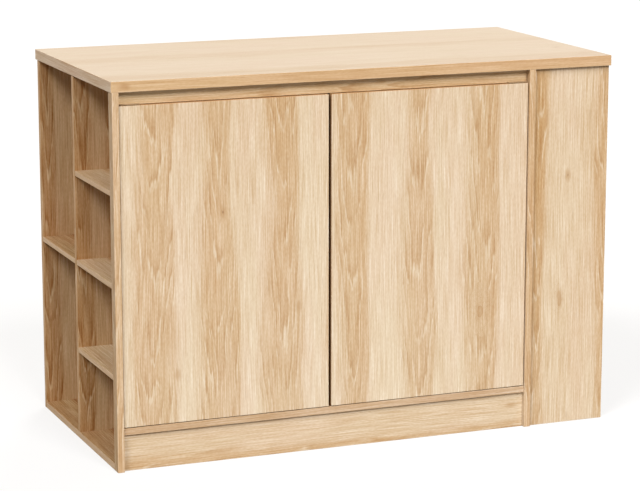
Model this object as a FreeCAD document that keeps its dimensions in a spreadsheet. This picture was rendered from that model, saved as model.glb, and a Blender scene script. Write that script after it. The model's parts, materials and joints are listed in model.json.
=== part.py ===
"""Kitchen island: a cupboard with two inset doors between two open shelf bays, under one worktop.

Millimetres, +Z up. The origin is on the floor under the middle of the worktop. +X runs along the
island from the bay end seen on the left of the doors to the other end, and -Y is the door side.
"""
import FreeCAD, Part
import os
import re
import Sketcher

# The driving dimensions. Every length below is worked out from these.
SIZES = {
    "worktop_length": 1250, "worktop_depth": 625, "worktop_thickness": 25, "island_height": 900,
    "side_overhang": 2, "back_overhang": 10, "worktop_round": 1.0, "edge_round": 0.6,
    "board": 16, "shelf_board": 12, "liner": 3,
    "bay_depth": 199, "shelf_pitch": 213, "post_width": 16, "post_depth": 27,
    "plinth_height": 86, "plinth_recess": 11, "sill_recess": 5, "end_panel_recess": 8,
    "rail_height": 30, "rail_thickness": 10, "cupboard_shelf_height": 440,
    "cupboard_shelf_setback": 72, "shelf_play": 0.5,
    "door_thickness": 16, "door_side_gap": 2, "door_centre_gap": 7,
    "door_top_gap": 1.2, "door_bottom_gap": 2,
    "pivot_from_edge": 8, "pivot_from_face": 5, "pivot_radius": 2, "running_clearance": 0.05,
    "leaf_thickness": 2, "leaf_length": 42, "leaf_inset": 2, "leaf_margin": 0.7, "leaf_round": 3,
    "leaf_screw_first": 14, "leaf_screw_pitch": 20,
    "screw_radius": 1.5, "screw_head_radius": 2.8, "screw_head_height": 1.3, "screw_length": 13,
    "catch_length": 44, "catch_height": 40, "catch_drop": 22, "catch_body": 14,
    "catch_from_centre": 40, "catch_gap": 0.3, "catch_screw_pitch": 30,
    "catch_screw_length": 22, "magnet_length": 30, "magnet_height": 12, "magnet_depth": 8,
    "strike_length": 36, "strike_height": 14, "strike_thickness": 1.4, "strike_screw_pitch": 24,
    "plate_round": 0.3,
    "bracket_leg": 26, "bracket_width": 20, "bracket_steel": 2, "bracket_from_end": 90,
    "bracket_screw_place": 16, "bracket_screw_length": 10,
    "dowel_radius": 4, "dowel_reach": 12, "dowel_depth": 18, "dowel_inset": 40,
    "shelf_dowel_radius": 3, "shelf_dowel_reach": 7, "shelf_dowel_depth": 15,
    "shelf_dowel_inset": 32,
    "pin_radius": 2.5, "pin_reach": 9, "pin_length": 19, "pin_inset": 45,
    "cam_radius": 7.5, "cam_height": 12, "cam_from_edge": 34, "cam_inset": 70,
    "cam_slot_width": 2, "cam_slot_depth": 2.5, "cam_bolt_radius": 2.5, "cam_bolt_reach": 11,
    "cam_head_radius": 3.4, "cam_head_length": 4, "fit": 0.05, "overrun": 1,
}

# Planes across the island, in the sizes above and in planes named earlier.
PLANES = {
    "left_end": "-worktop_length / 2 + side_overhang",
    "right_end": "worktop_length / 2 - side_overhang",
    "opening_left": "{left_end} + post_width",
    "left_bay_inner": "{left_end} + bay_depth",
    "cupboard_left": "{left_bay_inner} + board",
    "right_bay_inner": "{right_end} - bay_depth",
    "cupboard_right": "{right_bay_inner} - board",
    "doors_middle": "({opening_left} + {cupboard_right}) / 2",
    "cupboard_middle": "({cupboard_left} + {cupboard_right}) / 2",
    "left_door_left": "{opening_left} + door_side_gap",
    "left_door_right": "{doors_middle} - door_centre_gap / 2",
    "right_door_left": "{doors_middle} + door_centre_gap / 2",
    "right_door_right": "{cupboard_right} - door_side_gap",
    "front": "-worktop_depth / 2",
    "rear": "worktop_depth / 2 - back_overhang",
    "rear_inner": "{rear} - board",
    "post_back": "{front} + post_depth",
    "liner_front": "{post_back} - liner",
    "plinth_front": "{front} + plinth_recess",
    "sill_front": "{front} + sill_recess",
    "door_back": "{sill_front} + door_thickness",
    "rail_front": "{post_back} - rail_thickness",
    "end_panel_front": "{front} + end_panel_recess",
    "end_panel_back": "{end_panel_front} + board",
    "divider_front": "-board / 2",
    "divider_back": "board / 2",
    "strike_back": "{door_back} + strike_thickness",
    "catch_front": "{strike_back} + catch_gap",
    "catch_back": "{post_back} + catch_body",
    "pivot_y": "{sill_front} + pivot_from_face",
    "floor": "0",
    "under_worktop": "island_height - worktop_thickness",
    "top": "island_height",
    "bay_floor_top": "board",
    "cupboard_floor_top": "plinth_height + board",
    "rail_bottom": "{under_worktop} - rail_height",
    "door_bottom": "{cupboard_floor_top} + door_bottom_gap",
    "door_top": "{rail_bottom} - door_top_gap",
    "catch_bottom": "{rail_bottom} - catch_drop",
}

# The underside of each bay shelf, as a share of the shelf pitch above the floor.
SHELF_LEVEL_SHARES = {"front_lower": 1, "front_middle": 2, "front_upper": 3, "rear": 2}

DIRECTIONS = {
    "+x": (1, 0, 0), "-x": (-1, 0, 0),
    "+y": (0, 1, 0), "-y": (0, -1, 0),
    "+z": (0, 0, 1), "-z": (0, 0, -1),
}

doc = FreeCAD.newDocument("kitchen_island")
sheet = doc.addObject("Spreadsheet::Sheet", "sizes")
blanks = {}
drillings = {}
groups = {}


def resolve(text):
    """The text with its planes written out in named sizes."""
    while "{" in text:
        text = text.format(**{name: f"({value})" for name, value in PLANES.items()})
    return text


def bound(text):
    """The text as an expression that reads the sheet."""
    return re.sub(r"[a-z_]+", lambda word: "sizes." + word.group(), resolve(text))


def fill_sheet():
    """One row for each driving dimension: its name and its plain number."""
    for row, (alias, number) in enumerate(SIZES.items(), start=1):
        sheet.set(f"A{row}", alias.replace("_", " "))
        sheet.set(f"B{row}", str(number))
        sheet.setAlias(f"B{row}", alias)
    doc.recompute()


def opposite(direction):
    return ("-" if direction[0] == "+" else "+") + direction[1]


def shifted(point, direction, distance):
    """The point moved by a distance along the direction."""
    sign, axis = direction
    moved = list(point)
    moved["xyz".index(axis)] = f"({point['xyz'.index(axis)]}) {sign} ({distance})"
    return moved


def put(part, point, direction="+z"):
    """Stands a part on the point, with its own Z axis along the direction."""
    turn = FreeCAD.Rotation(FreeCAD.Vector(DIRECTIONS["+z"]), FreeCAD.Vector(DIRECTIONS[direction]))
    part.Placement = FreeCAD.Placement(FreeCAD.Vector(), turn)
    for axis, text in zip("xyz", point):
        part.setExpression(f"Placement.Base.{axis}", bound(text))
    return part


def block(name, x, y, z):
    """A plain box between three pairs of planes."""
    part = doc.addObject("Part::Box", name)
    for side, (low, high) in zip(("Length", "Width", "Height"), (x, y, z)):
        part.setExpression(side, bound(f"({high}) - ({low})"))
    return put(part, (x[0], y[0], z[0]))


def rod(name, start, direction, radius, length):
    part = doc.addObject("Part::Cylinder", name)
    part.setExpression("Radius", bound(radius))
    part.setExpression("Height", bound(length))
    return put(part, start, direction)


def cone(name, start, direction, radius, end_radius, length):
    part = doc.addObject("Part::Cone", name)
    part.setExpression("Radius1", bound(radius))
    part.setExpression("Radius2", bound(end_radius))
    part.setExpression("Height", bound(length))
    return put(part, start, direction)


def board(name, x, y, z, rounding="edge_round"):
    """A rectangular board between three pairs of planes, with all its edges eased."""
    rounded = doc.addObject("Part::Fillet", name + "_eased")
    rounded.Base = block(name + "_blank", x, y, z)
    radius = sheet.get(rounding)
    box_edges = range(1, 13)
    rounded.Edges = [(edge, radius, radius) for edge in box_edges]
    blanks[name] = rounded


def hollow(name, tool):
    drillings.setdefault(name, []).append(tool)


def drill(name, mouth, direction, radius, depth):
    """A round hole in a node, from its mouth on the surface to its depth."""
    start = shifted(mouth, opposite(direction), "overrun")
    hollow(name, rod(name + "_hole", start, direction, radius, f"{depth} + overrun"))


def join(group, *parts):
    groups.setdefault(group, []).extend(parts)


def peg(group, kind, at, direction, board_a, board_b):
    """A dowel across the face where two boards meet, with its hole in each of them."""
    radius, reach, depth = (f"{kind}_{word}" for word in ("radius", "reach", "depth"))
    drill(board_a, at, opposite(direction), f"{radius} + fit", f"{reach} + fit")
    drill(board_b, at, direction, f"{radius} + fit", f"{depth} + fit")
    start = shifted(at, opposite(direction), reach)
    join(group, rod(group + "_dowel", start, direction, radius, f"{reach} + {depth}"))


def screw(group, mouth, direction, plate, wood, length="screw_length"):
    """A countersunk screw, flush in a plate and driven on into wood."""
    head = cone(group + "_head", mouth, direction,
                "screw_head_radius", "screw_radius", "screw_head_height")
    shank = rod(group + "_shank", mouth, direction, "screw_radius", length)
    whole = doc.addObject("Part::Fuse", group + "_screw")
    whole.Base, whole.Tool = head, shank
    join(group, whole)
    hollow(plate, cone(plate + "_sink", mouth, direction,
                       "screw_head_radius + fit", "screw_radius + fit", "screw_head_height"))
    for node in (plate, wood):
        drill(node, mouth, direction, "screw_radius + fit", f"{length} + fit")


def outline(body, name, plane, corners):
    """A closed sketch of straight lines on one of the body's planes, each corner tied to the sheet."""
    sketch = body.newObject("Sketcher::SketchObject", name)
    base = next(item for item in body.Origin.OriginFeatures if item.Role == plane + "_Plane")
    sketch.AttachmentSupport = [(base, "")]
    sketch.MapMode = "FlatFace"
    count = len(corners)
    guesses = [FreeCAD.Rotation(FreeCAD.Vector(DIRECTIONS["+z"]), 360 * number / count)
               .multVec(FreeCAD.Vector(DIRECTIONS["+x"])) for number in range(count)]
    for number in range(count):
        sketch.addGeometry(Part.LineSegment(guesses[number], guesses[(number + 1) % count]))
    for number in range(count):
        sketch.addConstraint(Sketcher.Constraint("Coincident", number, 2, (number + 1) % count, 1))
    for number, corner in enumerate(corners):
        for kind, text, guess in zip(("DistanceX", "DistanceY"), corner, guesses[number]):
            tie = sketch.addConstraint(Sketcher.Constraint(kind, -1, 1, number, 1, guess))
            sketch.setExpression(f"Constraints[{tie}]", bound(text))
    return sketch


def padded(name, plane, corners, thickness, at, both_ways=False, turn=0):
    """A body padded from an outline, placed at a point and turned about Z."""
    body = doc.addObject("PartDesign::Body", name + "_body")
    pad = body.newObject("PartDesign::Pad", name + "_pad")
    pad.Profile = outline(body, name + "_outline", plane, corners)
    pad.setExpression("Length", bound(thickness))
    pad.Midplane = both_ways
    put(body, at)
    body.Placement.Rotation = FreeCAD.Rotation(FreeCAD.Vector(DIRECTIONS["+z"]), turn)
    doc.recompute()
    blanks[name] = body
    return body, pad


def ease(body, pad, rounding, upright_only=False):
    """Rounds the edges of a padded body: all of them, or only those along its thickness."""
    rounds = body.newObject("PartDesign::Fillet", body.Name + "_rounds")
    upright_share = 0.99
    edges = [f"Edge{number}" for number, edge in enumerate(pad.Shape.Edges, start=1)
             if not upright_only or abs(edge.tangentAt(edge.FirstParameter).z) > upright_share]
    rounds.Base = (pad, edges)
    rounds.setExpression("Radius", bound(rounding))


def rectangle(u, v):
    return [(u[0], v[0]), (u[1], v[0]), (u[1], v[1]), (u[0], v[1])]


def make_worktop():
    board("worktop", ("-worktop_length / 2", "worktop_length / 2"),
          ("-worktop_depth / 2", "worktop_depth / 2"), ("{under_worktop}", "{top}"), "worktop_round")


def make_front():
    """The fixed boards that frame the doors: post, sill, plinth, rail, liner and end panel."""
    across = ("{opening_left}", "{cupboard_right}")
    upright = ("{floor}", "{under_worktop}")
    board("left_front_post", ("{left_end}", "{opening_left}"), ("{front}", "{post_back}"), upright)
    board("right_front_panel", ("{right_bay_inner}", "{right_end}"),
          ("{end_panel_front}", "{end_panel_back}"), upright)
    board("plinth", across, ("{plinth_front}", "{post_back}"), ("{floor}", "plinth_height"))
    board("top_rail", across, ("{rail_front}", "{post_back}"), ("{rail_bottom}", "{under_worktop}"))
    board("left_front_liner", ("{opening_left}", "{cupboard_left}"),
          ("{liner_front}", "{post_back}"), ("{cupboard_floor_top}", "{rail_bottom}"))


def make_cupboard():
    """The closed middle: its floor runs forward as a tongue under the left door."""
    upright = ("{floor}", "{under_worktop}")
    corners = [("{opening_left}", "{sill_front}"), ("{cupboard_right}", "{sill_front}"),
               ("{cupboard_right}", "{rear_inner}"), ("{cupboard_left}", "{rear_inner}"),
               ("{cupboard_left}", "{post_back}"), ("{opening_left}", "{post_back}")]
    body, pad = padded("cupboard_floor", "XY", corners, "board", ("0", "0", "plinth_height"))
    ease(body, pad, "edge_round")
    board("left_bay_back", ("{left_bay_inner}", "{cupboard_left}"), ("{post_back}", "{rear}"), upright)
    board("right_partition", ("{cupboard_right}", "{right_bay_inner}"), ("{front}", "{rear}"), upright)
    board("cupboard_back", ("{cupboard_left}", "{cupboard_right}"), ("{rear_inner}", "{rear}"), upright)
    board("floor_bearer", ("{cupboard_middle} - board / 2", "{cupboard_middle} + board / 2"),
          ("{post_back}", "{rear_inner}"), ("{floor}", "plinth_height"))
    board("cupboard_shelf", ("{cupboard_left} + shelf_play", "{cupboard_right} - shelf_play"),
          ("{post_back} + cupboard_shelf_setback", "{rear_inner} - shelf_play"),
          ("cupboard_shelf_height", "cupboard_shelf_height + board"))


def make_bay(side, x, inner_front):
    """An open bay: floor, divider, rear upright, three front shelves and one rear shelf."""
    board(f"{side}_bay_floor", x, (inner_front, "{rear_inner}"), ("{floor}", "{bay_floor_top}"))
    board(f"{side}_bay_divider", x, ("{divider_front}", "{divider_back}"),
          ("{bay_floor_top}", "{under_worktop}"))
    board(f"{side}_bay_rear_upright", x, ("{rear_inner}", "{rear}"),
          ("{floor}", "{under_worktop}"))
    halves = {"front": (inner_front, "{divider_front}"), "rear": ("{divider_back}", "{rear_inner}")}
    for place, share in SHELF_LEVEL_SHARES.items():
        low = f"{share} * shelf_pitch"
        y = halves[place.split("_")[0]]
        board(f"{side}_bay_{place}_shelf", x, y, (low, f"{low} + shelf_board"))


def make_door(name, x):
    """A flat door leaf, hung inside the frame."""
    width = f"({x[1]}) - ({x[0]})"
    corners = rectangle(("0", width), ("0", "{door_top} - {door_bottom}"))
    body, pad = padded(name, "XZ", corners, "door_thickness", (x[0], "{door_back}", "{door_bottom}"))
    ease(body, pad, "edge_round")


def hinge_leaf(name, pivot, side, wood, face, outward, back, pin_length=None):
    """A flat leaf round the pivot, let into a face of the wood, with a riveted pin or a hole for it."""
    ends = (f"{side} * (leaf_inset - pivot_from_edge)", f"{side} * leaf_length")
    depth = ("leaf_inset - pivot_from_face", f"({back}) - ({{pivot_y}})")
    corners = rectangle(ends, depth)
    low = face if outward == "-z" else f"({face}) - leaf_thickness"
    mouth = f"({face}) - overrun" if outward == "-z" else low
    for piece, thickness, level in ((name, "leaf_thickness", low),
                                    (name + "_pocket", "leaf_thickness + overrun", mouth)):
        body, pad = padded(piece, "XY", corners, thickness, (*pivot, level))
        ease(body, pad, "leaf_round", upright_only=True)
    hollow(wood, blanks.pop(name + "_pocket"))
    if pin_length:
        riveted = doc.addObject("Part::Fuse", name + "_riveted")
        riveted.Base = blanks[name]
        riveted.Tool = rod(name + "_pin", (*pivot, face), outward, "pivot_radius", pin_length)
        blanks[name] = riveted
    else:
        drill(name, (*pivot, face), opposite(outward), "pivot_radius + running_clearance",
              "leaf_thickness + overrun")


def hang_door(door, pivot_x, side):
    """Four leaves and their screws: two on the frame with pins, two on the ends of the door."""
    frame_back, door_back = "{liner_front} - leaf_margin", "{door_back} - leaf_inset"
    frame_y = "({rail_front} + {liner_front}) / 2"
    door_y = "{door_back} - door_thickness / 2"
    ends = (("upper", "top_rail", "{rail_bottom}", "-z", "{door_top}", "door_top_gap"),
            ("lower", "cupboard_floor", "{cupboard_floor_top}", "+z", "{door_bottom}", "door_bottom_gap"))
    for end, wood, frame_face, outward, door_face, gap in ends:
        frame_leaf, door_leaf = (f"{door}_{end}_{carrier}_hinge" for carrier in ("frame", "door"))
        hinge_leaf(frame_leaf, (pivot_x, "{pivot_y}"), side, wood, frame_face, outward, frame_back,
                   f"{gap} + leaf_thickness - running_clearance")
        hinge_leaf(door_leaf, (pivot_x, "{pivot_y}"), side, door, door_face, opposite(outward), door_back)
        for step in (0, 1):
            x = f"{pivot_x} + {side} * (leaf_screw_first + {step} * leaf_screw_pitch)"
            screw("frame_hinge_screws", (x, frame_y, frame_face), opposite(outward), frame_leaf, wood)
            screw(f"{door}_hinge_screws", (x, door_y, door_face), outward, door_leaf, door)


def make_catch(door, middle):
    """A magnetic catch behind the rail and its strike plate on the back of the door."""
    name = f"{door}_catch"
    corners = [("{catch_front}", "{catch_bottom}"), ("{catch_back}", "{catch_bottom}"),
               ("{catch_back}", "{catch_bottom} + catch_height"),
               ("{post_back}", "{catch_bottom} + catch_height"),
               ("{post_back}", "{rail_bottom}"), ("{catch_front}", "{rail_bottom}")]
    body, pad = padded(name, "YZ", corners, "catch_length", (middle, "0", "0"), both_ways=True)
    ease(body, pad, "edge_round")
    level = "{catch_bottom} + catch_drop / 2"
    left, right = (f"{middle} {sign} magnet_length / 2" for sign in "-+")
    low, high = (f"{level} {sign} magnet_height / 2" for sign in "-+")
    hollow(name, block(name + "_pocket", (f"{left} - fit", f"{right} + fit"),
                       ("{catch_front} - overrun", "{catch_front} + magnet_depth"),
                       (f"{low} - fit", f"{high} + fit")))
    join("catch_magnets", block(name + "_magnet", (left, right),
                                ("{catch_front}", "{catch_front} + magnet_depth"), (low, high)))
    strike = f"{door}_strike_plate"
    board(strike, (f"{middle} - strike_length / 2", f"{middle} + strike_length / 2"),
          ("{door_back}", "{strike_back}"),
          (f"{level} - strike_height / 2", f"{level} + strike_height / 2"), "plate_round")
    for sign in "+-":
        screw("catch_screws", (f"{middle} {sign} catch_screw_pitch / 2", "{catch_back}",
                               "({rail_bottom} + {catch_bottom} + catch_height) / 2"),
              "-y", name, "top_rail", "catch_screw_length")
        screw(f"{door}_strike_screws", (f"{middle} {sign} strike_screw_pitch / 2", "{strike_back}", level),
              "-y", strike, door)


def bracket(number, corner, facing, wood):
    """A steel angle in the corner between the worktop and an upright face."""
    name = f"worktop_bracket_{number}"
    turn = {"+x": 0, "+y": 90, "-x": 180, "-y": 270}[facing]
    corners = [("0", "0"), ("bracket_leg", "0"), ("bracket_leg", "-bracket_steel"),
               ("bracket_steel", "-bracket_steel"), ("bracket_steel", "-bracket_leg"),
               ("0", "-bracket_leg")]
    padded(name, "XZ", corners, "bracket_width", corner, both_ways=True, turn=turn)
    under = shifted(shifted(corner, facing, "bracket_screw_place"), "-z", "bracket_steel")
    screw("worktop_bracket_screws", under, "+z", name, "worktop")
    beside = shifted(shifted(corner, facing, "bracket_steel"), "-z", "bracket_screw_place")
    screw("worktop_bracket_screws", beside, opposite(facing), name, wood, "bracket_screw_length")
    join("worktop_brackets", finish(name, name + "_drilled"))


def hold_worktop():
    """Angles inside the cupboard, and dowels in the tops of the uprights."""
    near, far = "{post_back} + bracket_from_end", "{rear_inner} - bracket_from_end"
    left, right = "{cupboard_left} + bracket_from_end", "{cupboard_right} - bracket_from_end"
    high = "{under_worktop}"
    places = [("{cupboard_left}", y, "+x", "left_bay_back") for y in (near, far)]
    places += [("{cupboard_right}", y, "-x", "right_partition") for y in (near, far)]
    places += [(x, "{post_back}", "+y", "top_rail") for x in (left, right)]
    places += [(x, "{rear_inner}", "-y", "cupboard_back") for x in (left, right)]
    for number, (x, y, facing, wood) in enumerate(places, start=1):
        bracket(number, (x, y, high), facing, wood)
    bay_ends = {"left": ("{left_end}", "{left_bay_inner}"), "right": ("{right_bay_inner}", "{right_end}")}
    for side, (start, end) in bay_ends.items():
        for x in (f"{start} + dowel_inset", f"{end} - dowel_inset"):
            for y, node in (("0", "divider"), ("{rear} - board / 2", "rear_upright")):
                peg("worktop_dowels", "dowel", (x, y, high), "-z", "worktop", f"{side}_bay_{node}")
    for x in ("{right_bay_inner} + dowel_inset", "{right_end} - dowel_inset"):
        peg("worktop_dowels", "dowel", (x, "{end_panel_front} + board / 2", high), "-z",
            "worktop", "right_front_panel")
    peg("worktop_dowels", "dowel", ("{opening_left} - post_width / 2", "{front} + post_depth / 2", high),
        "-z", "worktop", "left_front_post")
    for x, node in (("{cupboard_left} - board / 2", "left_bay_back"),
                    ("{cupboard_right} + board / 2", "right_partition")):
        for y in ("{post_back} + dowel_inset", "{rear} - dowel_inset"):
            peg("worktop_dowels", "dowel", (x, y, high), "-z", "worktop", node)


def pin_shelf(side, name, front_node, y, mid):
    """Dowels that hold one bay board: two into the bay's back, two or one at each end."""
    inner, outer = {"left": ("{left_bay_inner}", "{left_end}"),
                    "right": ("{right_bay_inner}", "{right_end}")}[side]
    inward = {"left": "-x", "right": "+x"}[side]
    back = {"left": "left_bay_back", "right": "right_partition"}[side]
    for place in (f"{y[0]} + shelf_dowel_inset", f"{y[1]} - shelf_dowel_inset"):
        peg("shelf_dowels", "shelf_dowel", (inner, place, mid), inward, back, name)
    inside = f"{inner} {inward[0]} shelf_dowel_inset"
    outside = f"{outer} {opposite(inward)[0]} shelf_dowel_inset"
    post = "{opening_left} - post_width / 2"
    rear_node = f"{side}_bay_divider" if y[1] == "{divider_front}" else f"{side}_bay_rear_upright"
    for x in (inside, outside):
        peg("shelf_dowels", "shelf_dowel", (x, y[1], mid), "-y", rear_node, name)
    for x in ((post,) if front_node == "left_front_post" else (inside, outside)):
        peg("shelf_dowels", "shelf_dowel", (x, y[0], mid), "+y", front_node, name)


def pin_bay(side, front_node, inner_front):
    """Dowels through every shelf, the floor and the divider's foot of one bay."""
    halves = {"front": (front_node, (inner_front, "{divider_front}")),
              "rear": (f"{side}_bay_divider", ("{divider_back}", "{rear_inner}"))}
    for place, share in SHELF_LEVEL_SHARES.items():
        pin_shelf(side, f"{side}_bay_{place}_shelf", *halves[place.split("_")[0]],
                  f"{share} * shelf_pitch + shelf_board / 2")
    pin_shelf(side, f"{side}_bay_floor", front_node, (inner_front, "{rear_inner}"), "board / 2")
    low, high = {"left": ("{left_end}", "{left_bay_inner}"),
                 "right": ("{right_bay_inner}", "{right_end}")}[side]
    back, towards = {"left": ("left_bay_back", "-x"), "right": ("right_partition", "+x")}[side]
    for x in (f"{low} + shelf_dowel_inset", f"{high} - shelf_dowel_inset"):
        peg("carcass_dowels", "shelf_dowel", (x, "0", "{bay_floor_top}"), "+z",
            f"{side}_bay_floor", f"{side}_bay_divider")
    inner = high if side == "left" else low
    for level_share in ("0.25", "0.75"):
        peg("carcass_dowels", "shelf_dowel",
            (inner, "{rear} - board / 2", f"{{under_worktop}} * {level_share}"), towards,
            back, f"{side}_bay_rear_upright")


def join_carcass():
    """Dowels between the cupboard's boards, and cam fittings at the ends of its floor."""
    rail_level = "{rail_bottom} + rail_height / 2"
    rail_y = "{post_back} - rail_thickness / 2"
    plinth_y = "({plinth_front} + {post_back}) / 2"
    sill_y = "({sill_front} + {post_back}) / 2"
    ends = [(rail_y, rail_level, "top_rail"), (sill_y, "plinth_height + board / 2", "cupboard_floor")]
    plinth_shares = ("0.3", "0.7")
    ends += [(plinth_y, f"plinth_height * {share}", "plinth") for share in plinth_shares]
    for y, z, node in ends:
        peg("carcass_dowels", "shelf_dowel", ("{opening_left}", y, z), "+x", "left_front_post", node)
        peg("carcass_dowels", "shelf_dowel", ("{cupboard_right}", y, z), "-x", "right_partition", node)
    for level_share in ("0.2", "0.5", "0.8"):
        level = f"{{under_worktop}} * {level_share}"
        peg("carcass_dowels", "shelf_dowel", ("{cupboard_left}", "{rear} - board / 2", level), "+x",
            "left_bay_back", "cupboard_back")
        peg("carcass_dowels", "shelf_dowel", ("{cupboard_right}", "{rear} - board / 2", level), "-x",
            "right_partition", "cupboard_back")
        peg("carcass_dowels", "shelf_dowel", ("{right_bay_inner}", "{end_panel_front} + board / 2", level),
            "+x", "right_partition", "right_front_panel")
    for y in ("{post_back} + dowel_inset", "{rear_inner} - dowel_inset"):
        peg("carcass_dowels", "shelf_dowel", ("{cupboard_middle}", y, "plinth_height"), "-z",
            "cupboard_floor", "floor_bearer")
    for x, direction, wood in (("{cupboard_left}", "+x", "left_bay_back"),
                               ("{cupboard_right}", "-x", "right_partition")):
        for y in ("{post_back} + cam_inset", "{rear_inner} - cam_inset"):
            cam_fitting((x, y, "plinth_height + board / 2"), direction, wood, "cupboard_floor")


def cam_fitting(joint, direction, wood, level_board):
    """A bolt in an upright whose head is held by a slotted cam in the underside of a level board."""
    reach = "cam_from_edge + cam_head_length / 2"
    start = shifted(joint, opposite(direction), "cam_bolt_reach")
    head_start = shifted(joint, direction, "cam_from_edge - cam_head_length / 2")
    bolt = doc.addObject("Part::Fuse", "cam_bolt")
    bolt.Base = rod("cam_bolt_shank", start, direction, "cam_bolt_radius", f"cam_bolt_reach + {reach}")
    bolt.Tool = rod("cam_bolt_head", head_start, direction, "cam_head_radius", "cam_head_length")
    join("cam_bolts", bolt)
    drill(wood, joint, opposite(direction), "cam_bolt_radius + fit", "cam_bolt_reach + fit")
    drill(level_board, joint, direction, "cam_head_radius + fit", f"{reach} + fit")
    foot = [*shifted(joint, direction, "cam_from_edge")[:2], "plinth_height"]
    drill(level_board, foot, "+z", "cam_radius + fit", "cam_height + fit")
    disc = rod("cam_disc_blank", foot, "+z", "cam_radius", "cam_height")
    along = [f"{foot[0]} {sign} (cam_radius + overrun)" for sign in "-+"]
    across = [f"({foot[1]}) {sign} cam_slot_width / 2" for sign in "-+"]
    slot = block("cam_slot", along, across, ("plinth_height - overrun", "plinth_height + cam_slot_depth"))
    mouth = shifted(joint, direction, "cam_from_edge - cam_radius - overrun")
    socket = rod("cam_socket", mouth, direction, "cam_head_radius + fit",
                 "cam_radius + overrun + cam_head_length / 2 + fit")
    disc_cut = doc.addObject("Part::Cut", "cam_disc")
    disc_cut.Base, disc_cut.Tool = disc, compound("cam_cutters", [slot, socket])
    join("cam_discs", disc_cut)


def rest_cupboard_shelf():
    """Four pins in the cupboard's sides, under the loose shelf."""
    level = "cupboard_shelf_height - pin_radius - fit"
    shelf_front = "{post_back} + cupboard_shelf_setback"
    for x, direction, wood in (("{cupboard_left}", "+x", "left_bay_back"),
                               ("{cupboard_right}", "-x", "right_partition")):
        for y in (f"{shelf_front} + pin_inset", "{rear_inner} - pin_inset"):
            mouth = (x, y, level)
            drill(wood, mouth, opposite(direction), "pin_radius + fit", "pin_reach + fit")
            start = shifted(mouth, opposite(direction), "pin_reach")
            join("shelf_pins", rod("shelf_pin", start, direction, "pin_radius", "pin_length"))


def compound(name, parts):
    whole = doc.addObject("Part::Compound", name)
    whole.Links = parts
    return whole


def finish(name, label=None):
    """The blank with its holes cut, under the node's own name."""
    whole = doc.addObject("Part::Cut" if name in drillings else "Part::Compound", name)
    if name in drillings:
        whole.Base = blanks[name]
        whole.Tool = compound(name + "_holes", drillings.pop(name))
    else:
        whole.Links = [blanks[name]]
    whole.Label = label or name
    del blanks[name]
    return whole


def check(part):
    """Stops the build if a sub-part is missing, failed or broken."""
    shape = part.Shape
    if shape.isNull() or not shape.isValid() or not shape.Solids:
        raise RuntimeError(f"{part.Label} has no good solid")


fill_sheet()
make_worktop()
make_front()
make_cupboard()
make_bay("left", ("{left_end}", "{left_bay_inner}"), "{post_back}")
make_bay("right", ("{right_bay_inner}", "{right_end}"), "{end_panel_back}")
make_door("left_door", ("{left_door_left}", "{left_door_right}"))
make_door("right_door", ("{right_door_left}", "{right_door_right}"))
hang_door("left_door", "{left_door_left} + pivot_from_edge", "1")
hang_door("right_door", "{right_door_right} - pivot_from_edge", "-1")
make_catch("left_door", "{doors_middle} - catch_from_centre")
make_catch("right_door", "{doors_middle} + catch_from_centre")
hold_worktop()
pin_bay("left", "left_front_post", "{post_back}")
pin_bay("right", "right_front_panel", "{end_panel_back}")
join_carcass()
rest_cupboard_shelf()

subparts = [finish(name) for name in list(blanks)]
subparts += [compound(name, parts) for name, parts in groups.items()]
doc.recompute()
failed = [item.Label for item in doc.Objects if {"Invalid", "Error"} & set(item.State)]
if failed:
    raise RuntimeError(f"these objects failed: {failed}")
os.makedirs("parts", exist_ok=True)
for subpart in subparts:
    check(subpart)
for subpart in subparts:
    subpart.Shape.exportStep(f"parts/{subpart.Label}.step")
print(len(subparts), "sub-parts,", sum(len(item.Shape.Solids) for item in subparts), "solids")
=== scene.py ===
"""Kitchen island in light oak laminate: the finish of its boards and fittings, the light, the view.

Metres, +Z up. The boards come from the frame. The print of the laminate is worked out from each
board's own box, with its grain along one axis and its thickness along another. The screws are made
here, with cross recesses, in place of the plain ones.
"""
import json
import math

import bmesh
import bpy
from mathutils import Matrix, Vector


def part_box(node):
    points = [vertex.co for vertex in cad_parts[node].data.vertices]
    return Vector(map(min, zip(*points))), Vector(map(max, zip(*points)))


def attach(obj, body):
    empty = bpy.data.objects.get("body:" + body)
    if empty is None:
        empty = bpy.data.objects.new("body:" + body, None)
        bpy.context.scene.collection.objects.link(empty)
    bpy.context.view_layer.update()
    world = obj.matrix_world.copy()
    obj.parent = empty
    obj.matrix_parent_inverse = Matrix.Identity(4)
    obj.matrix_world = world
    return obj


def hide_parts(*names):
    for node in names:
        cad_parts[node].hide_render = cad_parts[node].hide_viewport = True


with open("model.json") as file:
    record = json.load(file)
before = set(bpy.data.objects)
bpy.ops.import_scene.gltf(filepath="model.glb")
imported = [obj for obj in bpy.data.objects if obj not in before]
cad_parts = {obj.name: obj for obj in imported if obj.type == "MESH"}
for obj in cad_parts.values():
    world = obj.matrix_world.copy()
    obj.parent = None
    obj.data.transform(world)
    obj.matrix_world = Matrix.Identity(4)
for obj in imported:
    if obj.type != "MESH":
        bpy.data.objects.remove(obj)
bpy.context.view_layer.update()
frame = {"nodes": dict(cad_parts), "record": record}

NODES = frame["nodes"]
SLOTS = {part["node"]: part["material_slot"] for part in frame["record"]["subparts"]}
AXES = {"x": Vector((1, 0, 0)), "y": Vector((0, 1, 0)), "z": Vector((0, 0, 1))}
RIGHT_ANGLE = math.pi / 2

# The view: a long lens from the front left, above the worktop.
CAMERA_PLACE = Vector((-2.201, -5.485, 1.653))
CAMERA_TURN_RIGHT = math.radians(21.85)
CAMERA_TURN_DOWN = math.radians(11.76)
CAMERA_LENS_MM = 138.3
CAMERA_SENSOR_MM = 36.0
FARTHEST_SEEN = 100.0

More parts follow.
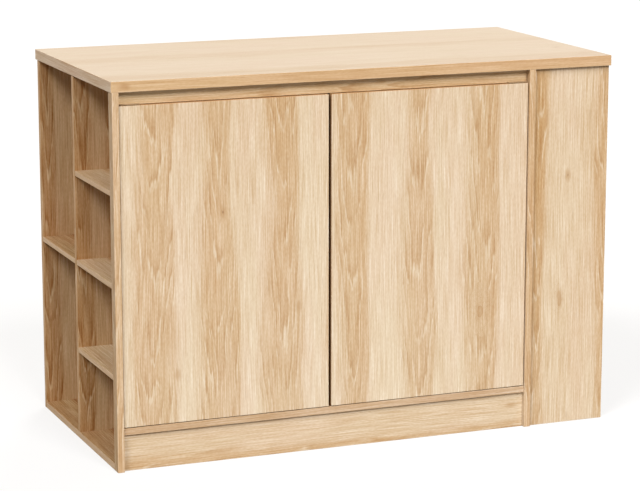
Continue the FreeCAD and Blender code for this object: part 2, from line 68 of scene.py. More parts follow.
# The light: a key from the front, a fill from the left, one from behind, and the warm room. Each of
# the three has its strength, its spread, its height above the horizon and its turn to the right of
# the front. The floor glows to the camera alone.
LIGHTS = {"key": (2.6, math.radians(24), math.radians(38), math.radians(5)),
          "left_fill": (2.36, math.radians(22), math.radians(46), math.radians(-55)),
          "back_light": (2.2, math.radians(30), math.radians(22), math.radians(142))}
ROOM_TONE = (1.0, 0.80, 0.56, 1.0)
ROOM_LIGHT = 0.23
FLOOR_REACH = 30.0
FLOOR_DARK, FLOOR_PALE = (0.23, 0.23, 0.23, 1.0), (0.25, 0.25, 0.25, 1.0)
FLOOR_CLOUDS, CLOUD_DETAIL = 0.8, 2.0
FLOOR_ROUGHNESS = 0.9
FLOOR_GLOW = 0.70
WHITE = (1.0, 1.0, 1.0, 1.0)

# The tones of the laminate print under white light.
CREAM = (218, 201, 175)
BLUSH = (219, 200, 176)
TAN = (190, 154, 110)
DEEP_TAN = (174, 134, 88)
PORE_BROWN = (150, 112, 72)
KNOT_BROWN = (122, 86, 54)

# The streaks of the print. Each has what is added to the board's seed, its cycles a metre across
# the grain and along it, and its detail. The sways move the fibres from side to side.
SWAYS = {"slow_sway": (0.0, 3.0, 1.3, 2.0), "quick_sway": (0.7, 22.0, 5.0, 2.0)}
FIBRES = {
    "fibre": (9.1, 130.0, 1.8, 3.0),
    "thread": (4.4, 300.0, 4.0, 2.0),
    "hair": (2.9, 480.0, 9.0, 1.0),
    "pores": (8.8, 420.0, 20.0, 1.0),
    "flecks": (13.7, 460.0, 120.0, 0.0),
}
CLOUDS = {
    "wander": (5.7, 7.0, 0.9, 2.0),
    "ripple": (1.4, 34.0, 2.2, 3.0),
    "swell": (12.9, 5.0, 2.0, 2.0),
    "band": (6.1, 24.0, 0.9, 3.0),
    "broad_band": (7.7, 9.0, 1.0, 1.0),
    "waver": (2.3, 15.0, 3.2, 3.0),
    "swirl_waver": (3.9, 40.0, 24.0, 2.0),
    "break": (7.2, 26.0, 7.0, 2.0),
    "blush": (11.3, 16.0, 2.4, 2.0),
}

# How far the streaks move the fibres, a heart's middle, the share of tan, the rings of the figure,
# those of a swirl, and the contrast.
SWAY_MOVES = {"slow_sway": 0.03, "quick_sway": 0.001}
MIDDLE_MOVES = {"wander": 0.36, "ripple": 0.16, "fibre": 0.08}
TAN_MOVES = {"band": 0.50, "broad_band": 0.40, "fibre": 0.14, "thread": 0.30}
RING_MOVES = {"waver": 0.8, "fibre": 0.20, "thread": 0.15}
SWIRL_MOVES = {"swirl_waver": 1.4}
CONTRAST_MOVES = {"hair": -1.25, "thread": -0.25, "flecks": -0.32}

# A heart's swell and its soft and crisp side, and the share of tan at its sides and what it adds.
SWELL = 1.6
SOFT_SIDE, CRISP_SIDE = (-0.12, 0.14), (-0.04, 0.06)
TAN_BASE, TAN_OF_HEART = 0.16, 0.46

# The figure: cones cut by the board, whose rings have a light and a dark line each.
RINGS_ACROSS, RINGS_ALONG, RING_COUNT = 20.0, -1.7, 4.0
CONE_DEPTH, CONE_DEPTH_SPREAD, CONE_SHIFT = 0.15, 0.5, 9.0
LIGHT_RISE, LIGHT_FALL, LIGHT_SHARE = (0.72, 0.90), (1.0, 0.92), 0.58
DARK_RISE, DARK_FALL, DARK_SHARE = (0.30, 0.72), (0.84, 0.74), 0.44
FIGURE_IN_HEART, FIGURE_BREAK, FIGURE_OUTSIDE = (0.3, 0.9), (-0.12, 0.06), 0.15

# A swirl round a knot: its half width and half height in metres, the closeness of its rings, and
# where it fades and where it stains, in its own radii.
SWIRL_HALF_WIDTH, SWIRL_HALF_HEIGHT, SWIRL_RINGS = 0.017, 0.036, 0.5
SWIRL_FADE, SWIRL_STAIN = (1.9, 0.7), (0.9, 0.1)

# The small knots: cells a metre across and along, the chance that a cell has none, the reach of a
# knot and of its halo in cells, and their shares of colour. A swirl stains as a halo does.
KNOTS_ACROSS, KNOTS_ALONG, KNOTLESS = 11.0, 5.5, 0.55
KNOT_REACH, HALO_REACH = (0.030, 0.008), (0.13, 0.02)
KNOT_SHARE, STAIN_SHARE = 0.75, 0.5

# What the blush and the pores ease over, and the pores' share of colour.
BLUSH_RANGE = (-0.12, 0.12)
PORE_RANGE, PORE_SHARE = (0.14, 0.26), 0.22

# The surface of the laminate. Threads stand up and pores go in.
THREAD_RISE, PORE_DIP = 0.6, -0.8
OAK_ROUGHNESS, ROUGHNESS_OF_PRINT = 0.55, -0.10
OAK_BUMP, OAK_BUMP_DEPTH = 0.12, 0.0003
OAK_GLOSS, WORKTOP_GLOSS = 0.22, 0.05

# The part of a normal past which a face looks along an axis, how far the print on the ends is
# shifted, what makes the seeds of boards and staves, and where a board without a swirl has it.
FACING = 0.7
END_PRINT_SHIFT = 0.31
SEED_CYCLE, SEED_STEP, DICE_STEP = 97, 0.61, 7.31
FAR_OFF = 9.0

# The boards of the bays have a deeper, warmer print than the front: painted shade for the shade
# inside the bays, deepest on the rear shelves and the bay floors.
BAY_SHADE_DEEPENING = 1.35
BAY_SHADE_WASH = (255, 243, 228)
LOW_SHELF_SHADE_DEEPENING = 2.2
SHELF_SHADE_DEEPENING = 1.5

# What the print is multiplied by on some boards.
PLAIN = (255, 255, 255)
WORKTOP_WASH = (219, 211, 202)
EDGE_BAND = (254, 250, 246)
BAY_EDGE_BAND = (252, 240, 228)
# The doors' bands are darker than the print: painted shade, the edges for the dark gaps round the
# doors and the ends for the shade over them.
DOOR_EDGE_SHADE_BAND = (211, 186, 157)
DOOR_END_SHADE_BAND = (216, 187, 154)
SILL_BAND = (240, 232, 226)
# The rail's warmer wash is painted shade: it gives the whole rail the warm tone of the shade under
# the worktop.
RAIL_SHADE_WASH = (255, 246, 228)
WORKTOP_EDGE_BAND = (236, 216, 192)
WORKTOP_END_BAND = (253, 249, 252)

# The screws' sizes in metres, what keeps a shank clear of the end of its hole, the share of the
# head's height at which the shank starts, the seed of their turns, the part of a screw's width past
# which a point of a plain screw is on its head's rim, and how near two of its points are one.
SCREW_SIZES = {"Head Radius": 0.0028, "Head Height": 0.0013, "Shank Radius": 0.0015,
               "Shank Length": 0.012, "Recess Width": 0.0006, "Recess Reach": 0.0032,
               "Recess Depth": 0.0009}
SCREW_TIP = 0.001
SHANK_START = 0.6
SCREW_TURN_SEED = 5
RIM_SHARE = 0.45
SAME_POINT = 1e-6
HEAD_SIDES, SHANK_SIDES = 32, 20

# The screws that each piece is made of: its body, and the nodes that it replaces.
SCREWS = {
    "carcass_screws": ("carcass", "frame_hinge_screws", "worktop_bracket_screws", "catch_screws"),
    "left_door_screws": ("left_door_leaf", "left_door_hinge_screws", "left_door_strike_screws"),
    "right_door_screws": ("right_door_leaf", "right_door_hinge_screws", "right_door_strike_screws"),
}

# The finish of each slot of fittings: the material's name, its tone, how metallic and how rough it
# is, the fineness of its grain and the strength of its bumps.
FITTINGS = {
    "lacquered_steel": ("tan_lacquer", (166, 136, 100), 0.0, 0.45, 200.0, 0.15),
    "steel": ("bright_steel", (196, 197, 200), 1.0, 0.34, 180.0, 0.2),
    "zinc": ("cast_zinc", (168, 169, 172), 1.0, 0.48, 240.0, 0.3),
    "catch_plastic": ("moulded_plastic", (224, 220, 208), 0.0, 0.5, 300.0, 0.15),
    "ferrite": ("black_ferrite", (42, 41, 42), 0.0, 0.6, 260.0, 0.4),
    "beech": ("beech_dowel", (206, 172, 122), 0.0, 0.6, 90.0, 0.4),
}
PATCH_DARKNESS, PATCH_DETAIL = 0.8, 3.0
PATCH_RANGE, ROUGHNESS_SPREAD = (0.2, 0.8), 0.08
FITTING_BUMP_DEPTH = 0.0002


def linear(tone):
    """A colour of three numbers up to 255 as a linear RGBA colour."""
    def channel(value):
        share = value / 255
        return share / 12.92 if share <= 0.04045 else ((share + 0.055) / 1.055) ** 2.4
    return (*(channel(value) for value in tone), 1.0)


def feed(tree, value, socket):
    """A value put into a socket, or an output linked to it."""
    if isinstance(value, bpy.types.NodeSocket):
        tree.links.new(value, socket)
    else:
        socket.default_value = value


def add(tree, kind, inputs=None, **settings):
    """A node with its settings. Each input is a value, or an output that is linked to it."""
    node = tree.nodes.new(kind)
    for name, value in settings.items():
        setattr(node, name, value)
    for name, value in (inputs or {}).items():
        feed(tree, value, node.inputs[name])
    return node


def calc(tree, operation, *values, clamp=False):
    """The result of a sum in the tree."""
    return add(tree, "ShaderNodeMath", dict(enumerate(values)),
               operation=operation, use_clamp=clamp).outputs[0]


def smooth(tree, value, span, to_low=0.0, to_high=1.0):
    """The value eased from one range to another."""
    inputs = {"Value": value, "From Min": span[0], "From Max": span[1],
              "To Min": to_low, "To Max": to_high}
    eased = add(tree, "ShaderNodeMapRange", inputs, interpolation_type="SMOOTHSTEP")
    return eased.outputs["Result"]


def blend(tree, share, first, second, mode="MIX"):
    """Two colours mixed by a share."""
    node = add(tree, "ShaderNodeMix", data_type="RGBA", blend_type=mode)
    colours = [socket for socket in node.inputs if socket.type == "RGBA"]
    for socket, value in zip((node.inputs[0], *colours), (share, first, second)):
        feed(tree, value, socket)
    return next(socket for socket in node.outputs if socket.type == "RGBA")


def streaks(tree, across, along, seed, fineness, length, detail):
    """Noise drawn out along the grain: fineness is cycles a metre across it, length along it."""
    place = add(tree, "ShaderNodeCombineXYZ", {
        "X": calc(tree, "MULTIPLY", across, fineness),
        "Y": calc(tree, "MULTIPLY", along, length),
        "Z": seed}).outputs[0]
    return add(tree, "ShaderNodeTexNoise", {"Vector": place, "Scale": 1.0, "Detail": detail},
               noise_dimensions="3D").outputs[0]


def group(name, inputs, outputs):
    """An empty node group with its sockets, and its two end nodes."""
    tree = bpy.data.node_groups.new(name, "ShaderNodeTree")
    for title, default in inputs.items():
        socket = tree.interface.new_socket(title, in_out="INPUT", socket_type="NodeSocketFloat")
        socket.default_value = default
    for title, kind in outputs.items():
        tree.interface.new_socket(title, in_out="OUTPUT", socket_type=kind)
    return tree, tree.nodes.new("NodeGroupInput").outputs, tree.nodes.new("NodeGroupOutput").inputs


def make_oak_print():
    """The laminate's print: staves with a tan heart and cream sides, a faint cathedral figure,
    threads, pores and small knots. Across and Along are metres on the board's face."""
    tree, given, result = group(
        "oak_print",
        {"Across": 0.0, "Along": 0.0, "Seed": 0.0, "Stave": 0.16, "Start": 0.0, "Heart": 0.5,
         "Tone": 0.0, "Fade": 0.3, "Figure": 1.0, "Swirl Across": 0.0, "Swirl Along": FAR_OFF},
        {"Color": "NodeSocketColor", "Height": "NodeSocketFloat"})
    across, along, seed = given["Across"], given["Along"], given["Seed"]

    def drawn(kinds, over):
        """Streaks by name, centred on zero."""
        made = {}
        for name, (step, fineness, length, detail) in kinds.items():
            shifted = calc(tree, "ADD", seed, step)
            noise = streaks(tree, over, along, shifted, fineness, length, detail)
            made[name] = calc(tree, "SUBTRACT", noise, 0.5)
        return made

    def moved(value, moves):
        """The value with a share of each streak added."""
        for name, share in moves.items():
            value = calc(tree, "MULTIPLY_ADD", streak[name], share, value)
        return value

    def product(first, second):
        return calc(tree, "MULTIPLY", first, second)

    def from_middle(x, y):
        """The length of the way from the middle to a place."""
        return calc(tree, "SQRT", calc(tree, "ADD", product(x, x), product(y, y)))

    streak = drawn(SWAYS, across)
    swayed = moved(across, SWAY_MOVES)
    streak |= drawn(FIBRES, swayed)
    streak |= drawn(CLOUDS, across)

    stave = calc(tree, "ADD", calc(tree, "DIVIDE", swayed, given["Stave"]), given["Start"])
    number = calc(tree, "FLOOR", stave)
    offset = calc(tree, "SUBTRACT", calc(tree, "SUBTRACT", stave, number), 0.5)
    dice = add(tree, "ShaderNodeTexWhiteNoise", {
        "W": calc(tree, "MULTIPLY_ADD", seed, DICE_STEP, number)}, noise_dimensions="1D").outputs[0]

    centred = moved(offset, MIDDLE_MOVES)
    swell = calc(tree, "MULTIPLY_ADD", streak["swell"], SWELL, 1.0)
    half = product(product(given["Heart"], swell), 0.5)
    soft_side = smooth(tree, calc(tree, "ADD", centred, half), SOFT_SIDE)
    crisp_side = smooth(tree, calc(tree, "SUBTRACT", half, centred), CRISP_SIDE)
    heart = product(soft_side, crisp_side)
    tan_share = moved(calc(tree, "MULTIPLY_ADD", heart, TAN_OF_HEART, TAN_BASE), TAN_MOVES)
    tan_share = calc(tree, "ADD", tan_share, product(along, given["Fade"]))
    tan_share = calc(tree, "ADD", tan_share, given["Tone"], clamp=True)

    aside = product(product(offset, given["Stave"]), RINGS_ACROSS)
    cone = from_middle(aside, calc(tree, "MULTIPLY_ADD", dice, CONE_DEPTH_SPREAD, CONE_DEPTH))
    rise = calc(tree, "MULTIPLY_ADD", along, RINGS_ALONG, product(dice, CONE_SHIFT))
    rings = moved(calc(tree, "ADD", cone, rise), RING_MOVES)
    swirl_x = calc(tree, "SUBTRACT", across, given["Swirl Across"])
    swirl_y = calc(tree, "SUBTRACT", along, given["Swirl Along"])
    swirl = moved(from_middle(calc(tree, "DIVIDE", swirl_x, SWIRL_HALF_WIDTH),
                              calc(tree, "DIVIDE", swirl_y, SWIRL_HALF_HEIGHT)), SWIRL_MOVES)
    near_swirl = smooth(tree, swirl, SWIRL_FADE)
    rings = add(tree, "ShaderNodeMix", {
        "Factor": near_swirl, "A": rings, "B": product(swirl, SWIRL_RINGS)}).outputs[0]
    ring = calc(tree, "FRACT", product(rings, RING_COUNT))
    light_line = product(smooth(tree, ring, LIGHT_RISE), smooth(tree, ring, LIGHT_FALL))
    dark_line = product(smooth(tree, ring, DARK_RISE), smooth(tree, ring, DARK_FALL))
    in_heart = smooth(tree, heart, FIGURE_IN_HEART, FIGURE_OUTSIDE, 1.0)
    figured = calc(tree, "MAXIMUM", in_heart, near_swirl)
    figured = product(figured, smooth(tree, streak["break"], FIGURE_BREAK))
    figured = product(figured, given["Figure"])

    spot_place = add(tree, "ShaderNodeCombineXYZ", {
        "X": product(across, KNOTS_ACROSS), "Y": product(along, KNOTS_ALONG), "Z": seed}).outputs[0]
    spots = add(tree, "ShaderNodeTexVoronoi", {"Vector": spot_place, "Scale": 1.0}).outputs
    chance = add(tree, "ShaderNodeSeparateColor", {0: spots["Color"]}).outputs[0]
    few = calc(tree, "GREATER_THAN", chance, KNOTLESS)
    knot = product(smooth(tree, spots["Distance"], KNOT_REACH), few)
    halo = product(smooth(tree, spots["Distance"], HALO_REACH), few)

    colour = blend(tree, smooth(tree, streak["blush"], BLUSH_RANGE), linear(CREAM), linear(BLUSH))
    colour = blend(tree, tan_share, colour, linear(TAN))
    colour = blend(tree, product(product(light_line, figured), LIGHT_SHARE), colour, linear(CREAM))
    colour = blend(tree, product(product(dark_line, figured), DARK_SHARE), colour, linear(DEEP_TAN))
    contrast = moved(1.0, CONTRAST_MOVES)
    colour = add(tree, "ShaderNodeGamma", {"Color": colour, "Gamma": contrast}).outputs[0]
    colour = blend(tree, smooth(tree, streak["pores"], PORE_RANGE, 0.0, PORE_SHARE),
                   colour, linear(PORE_BROWN))
    stain = calc(tree, "MAXIMUM", halo, smooth(tree, swirl, SWIRL_STAIN))
    colour = blend(tree, product(stain, STAIN_SHARE), colour, linear(DEEP_TAN))
    colour = blend(tree, product(knot, KNOT_SHARE), colour, linear(KNOT_BROWN))
    tree.links.new(colour, result["Color"])

    dips = product(streak["pores"], PORE_DIP)
    height = calc(tree, "MULTIPLY_ADD", streak["thread"], THREAD_RISE, dips)
    tree.links.new(height, result["Height"])
    return tree


def board_axes(node, grain):
    """The board's centre, and the turn that brings across, thickness and grain to X, Y and Z."""
    low, high = (Vector(corner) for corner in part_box(node))
    size = dict(zip(AXES, high - low))
    thickness = min((axis for axis in AXES if axis != grain), key=size.get)
    across = next(axis for axis in AXES if axis not in (grain, thickness))
    rows = [AXES[across], AXES[thickness], AXES[grain]]
    if Matrix(rows).determinant() < 0:
        rows[0] = -rows[0]
    return (low + high) / 2, Matrix(rows)


def oak(node, grain="z", stave=0.16, start=0.5, heart=0.5, tone=0.0, fade=0.0, figure=1.0,
        seed=None, swirl=(0.0, FAR_OFF), stain=1.0, wash=PLAIN, edge_band=EDGE_BAND,
        end_band=EDGE_BAND, plain_back=False, gloss=OAK_GLOSS):
    """The laminate on one board. A stain above one makes it deeper and stronger in contrast; on the
    bays' boards that is painted shade, and the back face can be left without it. The narrow faces
    and the ends carry edge bands, which on the doors are darkened with painted shade."""
    material = bpy.data.materials.new("oak_" + node)
    material.use_nodes = True
    tree = material.node_tree
    shader = tree.nodes["Principled BSDF"]
    centre, turn = board_axes(node, grain)
    if seed is None:
        spelt = sum(ord(letter) * place for place, letter in enumerate(node, start=1))
        seed = spelt % SEED_CYCLE * SEED_STEP
    where = add(tree, "ShaderNodeTexCoord")
    angles = turn.to_euler()
    laid = add(tree, "ShaderNodeMapping", {
        "Vector": where.outputs["Object"], "Rotation": angles, "Location": -(turn @ centre)})
    facing = add(tree, "ShaderNodeMapping", {
        "Vector": where.outputs["Normal"], "Rotation": angles}, vector_type="VECTOR")
    x, y, z = add(tree, "ShaderNodeSeparateXYZ", {0: laid.outputs[0]}).outputs
    _, face_y, face_z = add(tree, "ShaderNodeSeparateXYZ", {0: facing.outputs[0]}).outputs
    on_end = calc(tree, "GREATER_THAN", calc(tree, "ABSOLUTE", face_z), FACING)
    on_edge = calc(tree, "LESS_THAN", calc(tree, "ABSOLUTE", face_y), FACING)
    across = add(tree, "ShaderNodeMix", {
        "Factor": on_end, "A": calc(tree, "ADD", x, y),
        "B": calc(tree, "ADD", y, END_PRINT_SHIFT)}).outputs[0]
    along = add(tree, "ShaderNodeMix", {"Factor": on_end, "A": z, "B": x}).outputs[0]
    printed = add(tree, "ShaderNodeGroup", {
        "Across": across, "Along": along, "Seed": seed, "Stave": stave, "Start": start,
        "Heart": heart, "Tone": tone, "Fade": fade, "Figure": figure,
        "Swirl Across": swirl[0], "Swirl Along": swirl[1]}, node_tree=OAK_PRINT).outputs
    # The print deepened by the stain; on the bays' boards this deepening is painted shade.
    graded_print = add(tree, "ShaderNodeGamma", {"Color": printed["Color"], "Gamma": stain})
    face = blend(tree, 1.0, graded_print.outputs[0], linear(wash), "MULTIPLY")
    if plain_back:
        face = blend(tree, calc(tree, "GREATER_THAN", face_y, FACING), face, printed["Color"])
    band_wash = blend(tree, on_end, linear(edge_band), linear(end_band))
    band = blend(tree, 1.0, printed["Color"], band_wash, "MULTIPLY")
    colour = blend(tree, on_edge, face, band)
    tree.links.new(colour, shader.inputs["Base Color"])
    rough = calc(tree, "MULTIPLY_ADD", printed["Height"], ROUGHNESS_OF_PRINT, OAK_ROUGHNESS)
    tree.links.new(rough, shader.inputs["Roughness"])
    bump = add(tree, "ShaderNodeBump", {
        "Height": printed["Height"], "Strength": OAK_BUMP, "Distance": OAK_BUMP_DEPTH})
    tree.links.new(bump.outputs[0], shader.inputs["Normal"])
    shader.inputs["Specular IOR Level"].default_value = gloss
    dress(node, material)


def dress(node, material):
    """The material as the only one of a node."""
    NODES[node].data.materials.clear()
    NODES[node].data.materials.append(material)


def fitting(name, tone, metallic, roughness, grain_scale, bump_strength):
    """A metal or plastic with a fine uneven surface."""
    material = bpy.data.materials.new(name)
    material.use_nodes = True
    tree = material.node_tree
    shader = tree.nodes["Principled BSDF"]
    place = add(tree, "ShaderNodeTexCoord").outputs["Object"]
    patches = add(tree, "ShaderNodeTexNoise", {
        "Vector": place, "Scale": grain_scale, "Detail": PATCH_DETAIL}).outputs[0]
    dark = (*(value * PATCH_DARKNESS for value in linear(tone)[:3]), 1.0)
    tree.links.new(blend(tree, patches, dark, linear(tone)), shader.inputs["Base Color"])
    shader.inputs["Metallic"].default_value = metallic
    rough = smooth(tree, patches, PATCH_RANGE,
                   roughness - ROUGHNESS_SPREAD, roughness + ROUGHNESS_SPREAD)
    tree.links.new(rough, shader.inputs["Roughness"])
    bump = add(tree, "ShaderNodeBump", {
        "Height": patches, "Strength": bump_strength, "Distance": FITTING_BUMP_DEPTH})
    tree.links.new(bump.outputs[0], shader.inputs["Normal"])
    return material


def dress_fittings():
    """Each fitting in the finish of its slot. The steel is given back, for the screws."""
    finishes = {slot: fitting(*finish) for slot, finish in FITTINGS.items()}
    for node, slot in SLOTS.items():
        if slot in finishes:
            dress(node, finishes[slot])
    return finishes["steel"]


def dress_boards():
    """The boards that show in front have their print set one by one. The others' follows from their
    names, and the bays' boards are deepened with painted shade for the shade inside the bays."""
    oak("worktop", grain="x", stave=0.30, start=0.35, heart=0.3, tone=-0.3, figure=0.2, stain=0.5,
        wash=WORKTOP_WASH, edge_band=WORKTOP_EDGE_BAND, end_band=WORKTOP_END_BAND,
        gloss=WORKTOP_GLOSS)
    # The doors' edge and end bands carry painted shade.
    oak("left_door", stave=0.159, start=0.67, heart=0.54, fade=0.3, seed=3.0,
        edge_band=DOOR_EDGE_SHADE_BAND, end_band=DOOR_END_SHADE_BAND)
    oak("right_door", stave=0.168, start=0.726, heart=0.50, fade=0.3, seed=11.0,
        swirl=(0.125, -0.17), edge_band=DOOR_EDGE_SHADE_BAND, end_band=DOOR_END_SHADE_BAND)
    oak("right_front_panel", stave=0.195, start=0.0, heart=0.36, fade=0.2, tone=0.17, seed=21.0,
        swirl=(-0.03, -0.12))
    oak("plinth", grain="x", stave=0.12, start=0.14, tone=0.22)
    # The rail's wash carries painted warm shade.
    oak("top_rail", grain="x", stave=0.12, tone=-0.3, wash=RAIL_SHADE_WASH)
    oak("cupboard_floor", grain="x", stave=0.12, tone=0.3, edge_band=SILL_BAND)
    oak("left_front_post", stain=1.1)
    oak("right_partition", tone=0.12)
    oak("cupboard_back", stave=0.21, start=0.3, heart=0.42, fade=0.25)
    oak("left_front_liner")
    oak("floor_bearer", grain="y")
    oak("cupboard_shelf", grain="x")
    # The bays' boards below are deepened and warmed with painted shade; the rear uprights' back
    # faces, seen from outside, keep the plain print.
    oak("left_bay_back", stain=BAY_SHADE_DEEPENING, wash=BAY_SHADE_WASH)
    for side in ("left", "right"):
        for place in ("divider", "rear_upright"):
            oak(f"{side}_bay_{place}", stave=0.09, figure=1.6, stain=BAY_SHADE_DEEPENING, wash=BAY_SHADE_WASH,
                edge_band=BAY_EDGE_BAND, plain_back=place == "rear_upright")
        for place in ("front_lower_shelf", "front_middle_shelf", "front_upper_shelf"):
            oak(f"{side}_bay_{place}", grain="y", figure=0.4, stain=SHELF_SHADE_DEEPENING,
                edge_band=BAY_EDGE_BAND)
        for place in ("rear_shelf", "floor"):
            oak(f"{side}_bay_{place}", grain="y", figure=0.4, stain=LOW_SHELF_SHADE_DEEPENING,
                edge_band=BAY_EDGE_BAND)


def screw_tree(steel):
    """A countersunk screw with a cross recess at each point, driven along the point's Into."""
    tree = bpy.data.node_groups.new("countersunk_screws", "GeometryNodeTree")
    tree.interface.new_socket("Geometry", in_out="INPUT", socket_type="NodeSocketGeometry")
    tree.interface.new_socket("Geometry", in_out="OUTPUT", socket_type="NodeSocketGeometry")
    for title, value in SCREW_SIZES.items():
        socket = tree.interface.new_socket(title, in_out="INPUT", socket_type="NodeSocketFloat")
        socket.default_value = value
    given = tree.nodes.new("NodeGroupInput").outputs

    def lifted(shape, height):
        shift = add(tree, "ShaderNodeCombineXYZ", {"Z": height}).outputs[0]
        return add(tree, "GeometryNodeTransform", {
            "Geometry": shape, "Translation": shift}).outputs[0]

    head = add(tree, "GeometryNodeMeshCone", {
        "Vertices": HEAD_SIDES, "Radius Top": given["Head Radius"],
        "Radius Bottom": given["Shank Radius"], "Depth": given["Head Height"]}).outputs[0]
    head = lifted(head, calc(tree, "MULTIPLY", given["Head Height"], -1.0))
    shank = add(tree, "GeometryNodeMeshCylinder", {
        "Vertices": SHANK_SIDES, "Radius": given["Shank Radius"],
        "Depth": given["Shank Length"]}).outputs[0]
    drop = calc(tree, "MULTIPLY_ADD", given["Shank Length"], -0.5,
                calc(tree, "MULTIPLY", given["Head Height"], -SHANK_START))
    whole = add(tree, "GeometryNodeMeshBoolean", operation="UNION", solver="EXACT")
    for part in (head, lifted(shank, drop)):
        tree.links.new(part, whole.inputs["Mesh 2"])
    cut = add(tree, "GeometryNodeMeshBoolean", {"Mesh 1": whole.outputs[0]},
              operation="DIFFERENCE", solver="EXACT")
    width, reach, depth = given["Recess Width"], given["Recess Reach"], given["Recess Depth"]
    for x, y in ((width, reach), (reach, width)):
        size = add(tree, "ShaderNodeCombineXYZ", {
            "X": x, "Y": y, "Z": calc(tree, "MULTIPLY", depth, 2.0)}).outputs[0]
        bar = add(tree, "GeometryNodeMeshCube", {"Size": size}).outputs[0]
        tree.links.new(bar, cut.inputs["Mesh 2"])

    into = add(tree, "GeometryNodeInputNamedAttribute", {"Name": "Into"},
               data_type="FLOAT_VECTOR").outputs[0]
    out = add(tree, "ShaderNodeVectorMath", {0: into, "Scale": -1.0}, operation="SCALE").outputs[0]
    upright = add(tree, "FunctionNodeAlignRotationToVector", {"Vector": out}, axis="Z").outputs[0]
    spin = add(tree, "FunctionNodeRandomValue", {"Seed": SCREW_TURN_SEED}, data_type="FLOAT")
    spin.inputs[3].default_value = RIGHT_ANGLE
    turned = add(tree, "FunctionNodeAxisAngleToRotation", {"Angle": spin.outputs[1]}).outputs[0]
    placed = add(tree, "FunctionNodeRotateRotation", {"Rotation": upright, "Rotate By": turned},
                 rotation_space="LOCAL").outputs[0]
    screws = add(tree, "GeometryNodeInstanceOnPoints", {
        "Points": given["Geometry"], "Instance": cut.outputs[0], "Rotation": placed}).outputs[0]
    solid = add(tree, "GeometryNodeRealizeInstances", {"Geometry": screws}).outputs[0]
    steely = add(tree, "GeometryNodeSetMaterial", {"Geometry": solid, "Material": steel}).outputs[0]
    tree.links.new(steely, tree.nodes.new("NodeGroupOutput").inputs[0])
    return tree


def screw_places(node):
    """The middle of each screw's head, the way that it is driven and its length, read from the
    node's own mesh."""
    mesh = bmesh.new()
    mesh.from_mesh(NODES[node].data)
    bmesh.ops.remove_doubles(mesh, verts=mesh.verts, dist=SAME_POINT)
    left, places = set(mesh.verts), []
    while left:
        waiting, points = [left.pop()], []
        while waiting:
            vert = waiting.pop()
            points.append(vert.co.copy())
            beside = {edge.other_vert(vert) for edge in vert.link_edges} & left
            left -= beside
            waiting.extend(beside)
        low, high = (Vector(pick(p[i] for p in points) for i in range(3)) for pick in (min, max))
        middle, size = (low + high) / 2, high - low
        axis = max(range(3), key=lambda i: size[i])
        across = [i for i in range(3) if i != axis]
        rim = [p for p in points
               if max(abs(p[i] - middle[i]) for i in across) > RIM_SHARE * size[across[0]]]
        side = 1.0 if sum(p[axis] - middle[axis] for p in rim) > 0 else -1.0
        middle[axis] += side * size[axis] / 2
        into = Vector((0, 0, 0))
        into[axis] = -side
        places.append((middle, into, size[axis]))
    mesh.free()
    return sorted(places, key=lambda place: tuple(place[0]))


def make_screws(steel):
    """The screws of each body, in place of the plain ones."""
    tree = screw_tree(steel)
    sockets = {item.name: item.identifier for item in tree.interface.items_tree
               if item.in_out == "INPUT"}
    for name, (body, *nodes) in SCREWS.items():
        places = [place for node in nodes for place in screw_places(node)]
        mesh = bpy.data.meshes.new(name + "_places")
        mesh.from_pydata([middle for middle, _, _ in places], [], [])
        directions = mesh.attributes.new("Into", "FLOAT_VECTOR", "POINT")
        for number, (_, into, _) in enumerate(places):
            directions.data[number].vector = into
        pattern = bpy.data.objects.new(name + "_places", mesh)
        bpy.context.scene.collection.objects.link(pattern)
        modifier = pattern.modifiers.new("screws", "NODES")
        modifier.node_group = tree
        modifier[sockets["Shank Length"]] = min(length for _, _, length in places) - SCREW_TIP
        pattern.update_tag()
        shape = pattern.evaluated_get(bpy.context.evaluated_depsgraph_get())
        screws = bpy.data.objects.new(name, bpy.data.meshes.new_from_object(shape))
        bpy.data.objects.remove(pattern)
        bpy.context.scene.collection.objects.link(screws)
        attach(screws, body)
        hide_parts(*nodes)


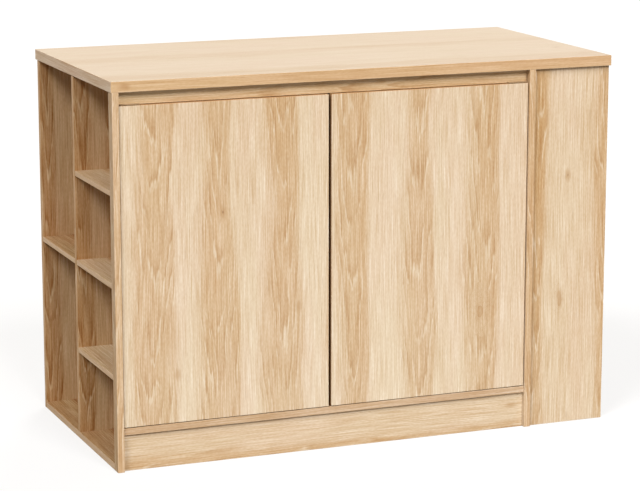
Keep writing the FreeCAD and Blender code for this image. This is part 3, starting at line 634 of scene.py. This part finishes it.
def make_floor():
    """A wide pale floor that glows to the camera, so that little but its shadows shows."""
    mesh = bpy.data.meshes.new("studio_floor")
    corners = [(x * FLOOR_REACH, y * FLOOR_REACH, 0)
               for x, y in ((-1, -1), (1, -1), (1, 1), (-1, 1))]
    mesh.from_pydata(corners, [], [(0, 1, 2, 3)])
    floor = bpy.data.objects.new("studio_floor", mesh)
    bpy.context.scene.collection.objects.link(floor)
    material = bpy.data.materials.new("pale_floor")
    material.use_nodes = True
    tree = material.node_tree
    place = add(tree, "ShaderNodeTexCoord").outputs["Object"]
    clouds = add(tree, "ShaderNodeTexNoise", {
        "Vector": place, "Scale": FLOOR_CLOUDS, "Detail": CLOUD_DETAIL}).outputs[0]
    shader = tree.nodes["Principled BSDF"]
    tree.links.new(blend(tree, clouds, FLOOR_DARK, FLOOR_PALE), shader.inputs["Base Color"])
    shader.inputs["Roughness"].default_value = FLOOR_ROUGHNESS
    shader.inputs["Specular IOR Level"].default_value = 0.0
    seen = add(tree, "ShaderNodeLightPath").outputs["Is Camera Ray"]
    shader.inputs["Emission Color"].default_value = WHITE
    tree.links.new(calc(tree, "MULTIPLY", seen, FLOOR_GLOW), shader.inputs["Emission Strength"])
    mesh.materials.append(material)


def make_sun(name, strength, spread, height, turn):
    """A sun light. Only the key one is seen in what glints."""
    data = bpy.data.lights.new(name, "SUN")
    data.energy = strength
    data.angle = spread
    sun = bpy.data.objects.new(name, data)
    sun.rotation_euler = (RIGHT_ANGLE - height, 0.0, turn)
    sun.visible_glossy = name == "key"
    bpy.context.scene.collection.objects.link(sun)


def make_light():
    """The lights, in a warm room that looks white to the camera and in what glints."""
    for name, settings in LIGHTS.items():
        make_sun(name, *settings)
    world = bpy.data.worlds.new("studio")
    world.use_nodes = True
    tree = world.node_tree
    path = add(tree, "ShaderNodeLightPath").outputs
    strength = add(tree, "ShaderNodeMix", {
        "Factor": path["Is Camera Ray"], "A": ROOM_LIGHT, "B": 1.0}).outputs[0]
    tree.links.new(strength, tree.nodes["Background"].inputs["Strength"])
    tone = blend(tree, path["Is Diffuse Ray"], WHITE, ROOM_TONE)
    tree.links.new(tone, tree.nodes["Background"].inputs["Color"])
    bpy.context.scene.world = world


def make_camera():
    """The camera of the main view."""
    data = bpy.data.cameras.new("view")
    data.sensor_width = CAMERA_SENSOR_MM
    data.lens = CAMERA_LENS_MM
    data.clip_end = FARTHEST_SEEN
    camera = bpy.data.objects.new("view", data)
    camera.location = CAMERA_PLACE
    camera.rotation_euler = (RIGHT_ANGLE - CAMERA_TURN_DOWN, 0.0, -CAMERA_TURN_RIGHT)
    bpy.context.scene.collection.objects.link(camera)
    bpy.context.scene.camera = camera


OAK_PRINT = make_oak_print()
make_camera()
dress_boards()
make_screws(dress_fittings())
make_floor()
make_light()
bpy.context.scene.view_settings.view_transform = "Standard"
